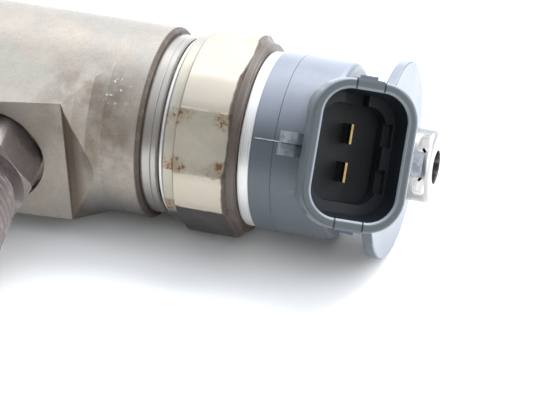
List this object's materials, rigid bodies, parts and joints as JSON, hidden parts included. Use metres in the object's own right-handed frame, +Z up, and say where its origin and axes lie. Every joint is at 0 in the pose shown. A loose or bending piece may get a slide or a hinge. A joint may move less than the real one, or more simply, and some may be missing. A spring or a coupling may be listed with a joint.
{
  "type": "solenoid common-rail diesel fuel injector",
  "caption": "Solenoid diesel injector with screwed nozzle, side fuel inlet, hexagonal solenoid nut, slanted socket connector and clip-in return union.",
  "frame": {"origin": "on the injector's axis, in the face of the copper washer that seals against the cylinder head", "axes": "+X along the injector's axis from the nozzle to the return union; -Y is the side of the high-pressure inlet, which leans 8 degrees from -Y towards +X; +Z up, with the injector lying on a flat of its solenoid nut"},
  "size_m": [0.188, 0.0498, 0.0402],
  "materials": {
    "hardened_steel": "ground and lapped hardened steel",
    "spring_steel": "oil-tempered spring wire with ground ends",
    "retaining_nut": "satin turned steel with a slight brown heat tint",
    "copper": "soft annealed copper, satin",
    "forged_body": "matte warm grey forged steel, fine grain, faint brown stains",
    "inlet_fitting": "brown-grey phosphated steel with brighter worn edges",
    "seal_metal": "soft metal sealing ring",
    "ball_ceramic": "polished dark ceramic",
    "soft_iron": "fine-ground soft magnetic iron",
    "bobbin_plastic": "natural glass-filled plastic",
    "coil_copper": "enamelled copper wire, glossy",
    "polished_steel": "bright turned steel with warm reflections",
    "seal_rubber": "black seal rubber, satin",
    "plated_nut": "cream plated steel with rust speckles at its edges",
    "black_plastic": "dark blue-grey glass-filled plastic, satin, scuffed edges",
    "gold_blade": "gold-plated contact, bright",
    "bright_union": "bright nickel-plated steel"
  },
  "bodies": {
    "injector": {"nozzle_body": "hardened_steel", "nozzle_spring": "spring_steel", "spring_shim": "hardened_steel", "nozzle_dowels": "hardened_steel", "nozzle_retaining_nut": "retaining_nut", "combustion_washer": "copper", "injector_body": "forged_body", "inlet_fitting": "inlet_fitting", "edge_filter": "hardened_steel", "valve_piece": "hardened_steel", "valve_piece_seal": "seal_metal", "valve_clamp_screw": "hardened_steel", "armature_guide": "hardened_steel", "armature_lift_shim": "hardened_steel", "guide_clamp_ring": "hardened_steel", "armature_damping_spring": "spring_steel", "valve_spring": "spring_steel", "valve_spring_shim": "hardened_steel", "solenoid_core": "soft_iron", "coil_bobbin": "bobbin_plastic", "coil_winding": "coil_copper", "solenoid_sleeve": "polished_steel", "sleeve_seal": "seal_rubber", "air_gap_shim": "hardened_steel", "solenoid_nut": "plated_nut", "nut_gap_ring": "polished_steel", "sleeve_ring": "polished_steel", "connector_housing": "black_plastic", "terminal_blades": "gold_blade", "return_union": "bright_union"},
    "needle": {"nozzle_needle": "hardened_steel", "pressure_pin": "hardened_steel", "control_piston": "hardened_steel"},
    "valve": {"valve_ball": "ball_ceramic", "ball_holder": "hardened_steel", "armature_bolt": "hardened_steel", "armature_retainer": "spring_steel"},
    "armature": {"armature_plate": "soft_iron"}
  },
  "joints": [
    {"name": "needle_lift", "type": "slide", "parent": "injector", "child": "needle", "axis": [1, 0, 0], "range_m": [0, 0.00025], "stiffness_N_per_m": 30000, "springref_m": -0.0012, "deforming": ["nozzle_spring"]},
    {"name": "valve_lift", "type": "slide", "parent": "injector", "child": "valve", "axis": [1, 0, 0], "range_m": [0, 0.00005], "stiffness_N_per_m": 25000, "springref_m": -0.0012, "deforming": ["valve_spring", "armature_damping_spring"]},
    {"name": "armature_overtravel", "type": "slide", "parent": "valve", "child": "armature", "axis": [-1, 0, 0], "range_m": [0, 0.00005], "stiffness_N_per_m": 2000, "springref_m": -0.0005, "deforming": ["armature_damping_spring"]}
  ]
}
